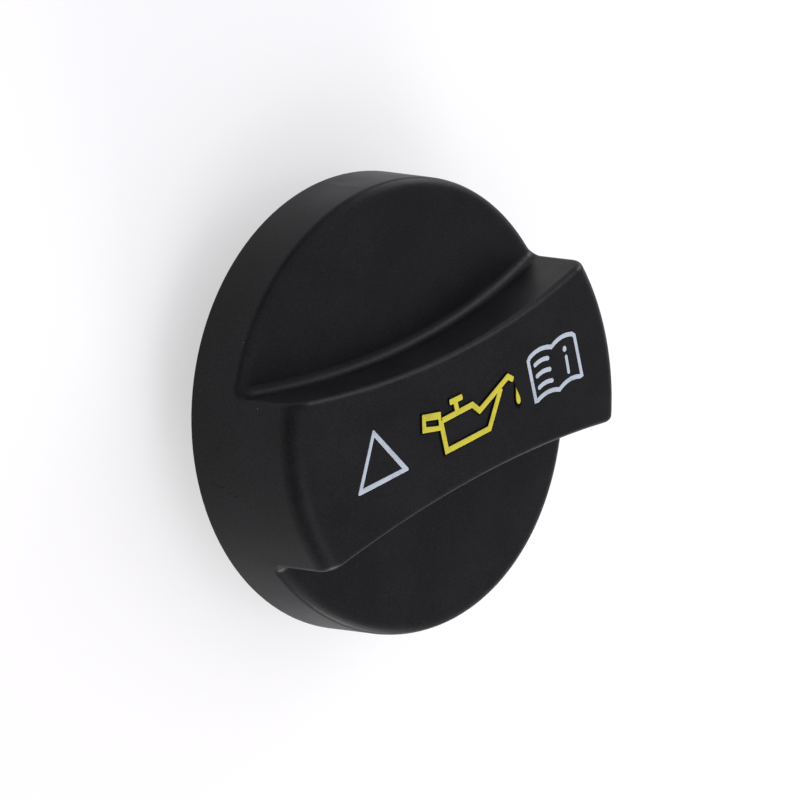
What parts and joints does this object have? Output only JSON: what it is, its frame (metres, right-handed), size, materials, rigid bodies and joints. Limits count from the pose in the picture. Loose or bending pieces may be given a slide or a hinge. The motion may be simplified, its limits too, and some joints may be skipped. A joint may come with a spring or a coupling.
{
  "type": "oil filler cap",
  "caption": "Round black moulded filler cap with a waisted grip bar across its crowned top, and below it a bayonet plug that carries a rubber sealing ring.",
  "frame": {"origin": "on the cap's axis, in the plane of the plug's lower rim on which the cap stands", "axes": "+Z along the cap's axis with the grip up, +X along the grip bar, +Y across it"},
  "size_m": [0.07, 0.07, 0.034],
  "materials": {
    "cap_plastic": "black glass-filled plastic, fine matt moulded grain",
    "seal_rubber": "black oil-proof rubber, smooth",
    "mark_white": "bluish white printed marks on the grip",
    "mark_yellow": "yellow raised mark on the grip"
  },
  "bodies": {
    "root": {"cap_body": "cap_plastic", "sealing_ring": "seal_rubber"}
  },
  "joints": []
}
